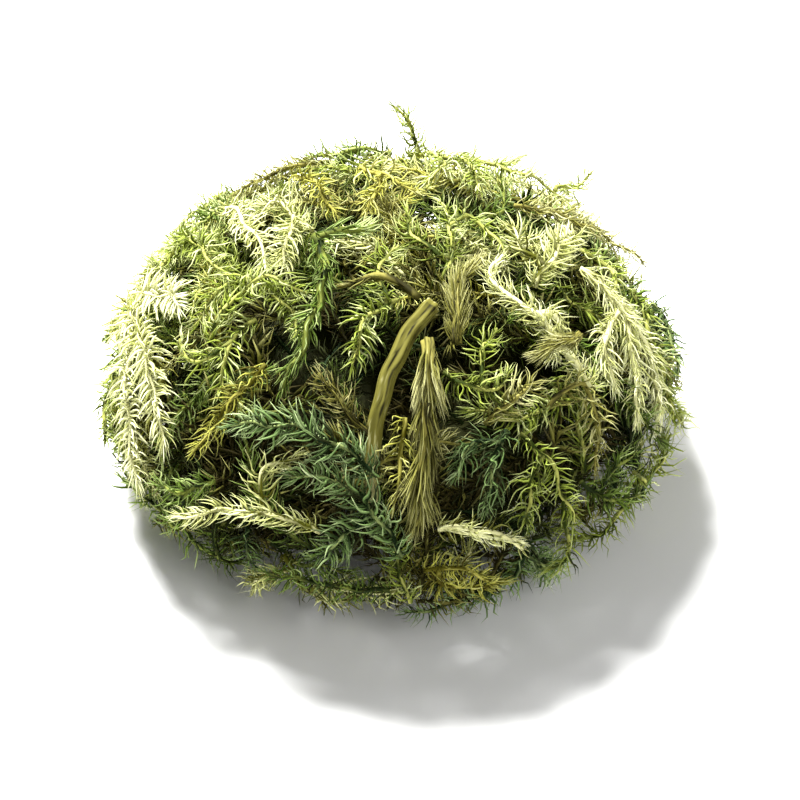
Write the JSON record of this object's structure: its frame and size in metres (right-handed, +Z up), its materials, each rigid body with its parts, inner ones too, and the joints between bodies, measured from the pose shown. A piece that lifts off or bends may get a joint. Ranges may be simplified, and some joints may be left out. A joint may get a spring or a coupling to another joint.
{
  "type": "dried clubmoss clump",
  "caption": "Loose domed clump of dried clubmoss, made of leafy forked shoots and a cut woody stem heaped together, lying on its lowest shoots.",
  "frame": {"origin": "middle of the flat spot under the clump's lowest shoot, on the surface it lies on", "axes": "+Z up, out of the crown of the heap; -Y towards the front of the clump, the side nearest the picture's camera; +X to the right from there"},
  "size_m": [0.1009, 0.1003, 0.0512],
  "materials": {
    "bleached": "dried leaves, pale straw-green, matt",
    "fresh": "dried leaves, yellow-green, matt",
    "deep": "dried leaves, deep green, matt",
    "teal": "dried leaves, blue-green, matt",
    "golden": "dried leaves, golden yellow-green, matt",
    "olive": "dried leaves and stem, brownish olive, matt",
    "straw": "woody stem, straw yellow, satin"
  },
  "bodies": {
    "root": {"back_bright_right": "fresh", "back_centre": "fresh", "back_left_feather": "fresh", "back_left_low": "fresh", "back_left_olive": "olive", "back_left_pale": "bleached", "back_middle": "deep", "back_right_low": "bleached", "brown_pressed": "olive", "brown_stub": "olive", "centre_green_fall": "deep", "centre_star": "fresh", "cut_stem_straw": "straw", "foot_frond_1": "olive", "foot_frond_2": "fresh", "foot_frond_3": "deep", "front_left_point": "bleached", "front_right_golden": "golden", "front_right_pale": "bleached", "front_rim_left": "deep", "golden_back": "golden", "golden_centre": "golden", "inner_tangle": "deep", "left_arch": "fresh", "left_edge_sprig": "fresh", "left_fan": "bleached", "left_golden_sprig": "golden", "left_mid_sprig": "fresh", "left_pale_fan": "bleached", "low_left_star": "deep", "olive_upright": "olive", "rest_shoot": "fresh", "right_arch": "olive", "right_back_green": "fresh", "right_back_olive": "olive", "right_bright": "fresh", "right_bud": "olive", "right_diagonal": "fresh", "right_edge_green": "fresh", "right_edge_teal": "teal", "right_feather": "bleached", "right_low": "deep", "right_pale_frond": "bleached", "right_tuft": "olive", "side_frond_1": "fresh", "side_frond_2": "deep", "side_frond_3": "bleached", "side_frond_4": "olive", "side_frond_5": "fresh", "side_frond_6": "deep", "side_frond_7": "bleached", "side_frond_8": "teal", "side_frond_9": "fresh", "teal_front": "teal", "teal_front_low": "teal", "teal_patch": "teal", "top_back_bright": "fresh", "top_fork": "fresh", "top_pale_fork": "golden", "white_curl": "bleached"}
  },
  "joints": []
}
